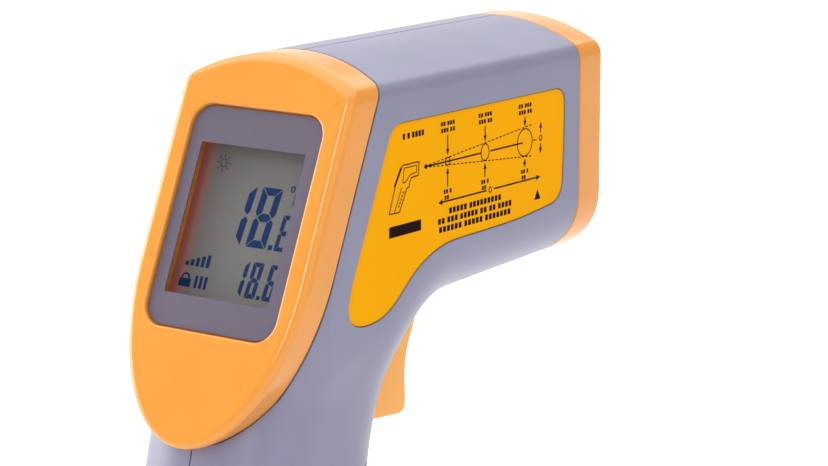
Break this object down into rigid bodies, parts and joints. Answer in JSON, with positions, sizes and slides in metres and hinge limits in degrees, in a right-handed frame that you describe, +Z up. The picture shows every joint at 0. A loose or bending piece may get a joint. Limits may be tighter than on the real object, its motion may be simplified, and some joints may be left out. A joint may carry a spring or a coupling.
{
  "type": "infrared thermometer",
  "caption": "Pistol-shaped infrared thermometer with a raked rear display, spring trigger, nose sensor port with laser aimer, and a hinged battery door in the front of the grip.",
  "frame": {"origin": "middle of the hand grip, on the centre plane, where a hand or a cradle holds it", "axes": "+X the way the sensor looks, +Y the thermometer's left side, +Z up"},
  "size_m": [0.1282, 0.041, 0.15],
  "materials": {
    "body_plastic": "fine satin texture",
    "bezel_plastic": "satin",
    "trigger_plastic": "satin",
    "label_film": "printed film",
    "clear_window": "polished",
    "border_print": "printed",
    "display_glass": "satin",
    "circuit_board": "solder mask",
    "black_plastic": "moulded",
    "white_plastic": "moulded",
    "rubber_strip": "plain",
    "steel": "plated",
    "brass": "turned",
    "battery_wrap": "printed wrap, plain",
    "red_wire": "sheath",
    "black_wire": "sheath"
  },
  "bodies": {
    "root": {"left_shell": "body_plastic", "right_shell": "body_plastic", "battery_tray": "body_plastic", "rear_bezel": "bezel_plastic", "front_bezel": "bezel_plastic", "label_left": "label_film", "label_right": "label_film", "display_window": "clear_window", "laser_window": "clear_window", "window_border": "border_print", "lcd_panel": "display_glass", "backlight_plate": "white_plastic", "lcd_frame": "white_plastic", "contact_strip": "rubber_strip", "display_board": "circuit_board", "sensor_board": "circuit_board", "microcontroller": "black_plastic", "crystal": "steel", "buzzer": "black_plastic", "capacitor": "black_plastic", "optics_barrel": "black_plastic", "infrared_lens": "white_plastic", "lens_ring": "black_plastic", "thermopile_sensor": "steel", "laser_module": "brass", "trigger_pin": "steel", "trigger_spring": "steel", "trigger_switch": "black_plastic", "battery": "battery_wrap", "battery_snap": "black_plastic", "battery_lead_red": "red_wire", "battery_lead_black": "black_wire", "door_hinge_pin": "steel", "case_screw_1": "steel", "case_screw_2": "steel", "case_screw_3": "steel", "case_screw_4": "steel", "case_screw_5": "steel"},
    "trigger": {"trigger": "trigger_plastic"},
    "plunger": {"switch_plunger": "white_plastic"},
    "door": {"battery_door": "body_plastic"}
  },
  "joints": [
    {"name": "trigger_pull", "type": "hinge", "parent": "root", "child": "trigger", "pos_m": [0.044, 0, 0.058], "axis": [0, 1, 0], "range_deg": [0, 7], "stiffness_Nm_per_rad": 0.8, "deforming": ["trigger_spring"]},
    {"name": "plunger_travel", "type": "slide", "parent": "root", "child": "plunger", "axis": [-1, 0, 0], "range_m": [0, 0.00147]},
    {"name": "battery_door_hinge", "type": "hinge", "parent": "root", "child": "door", "pos_m": [-0.0095, 0, -0.0405], "axis": [0, 1, 0], "range_deg": [0, 65]}
  ],
  "couplings": [
    {"joint": "plunger_travel", "follows": "trigger_pull", "m_per_rad": 0.012}
  ]
}
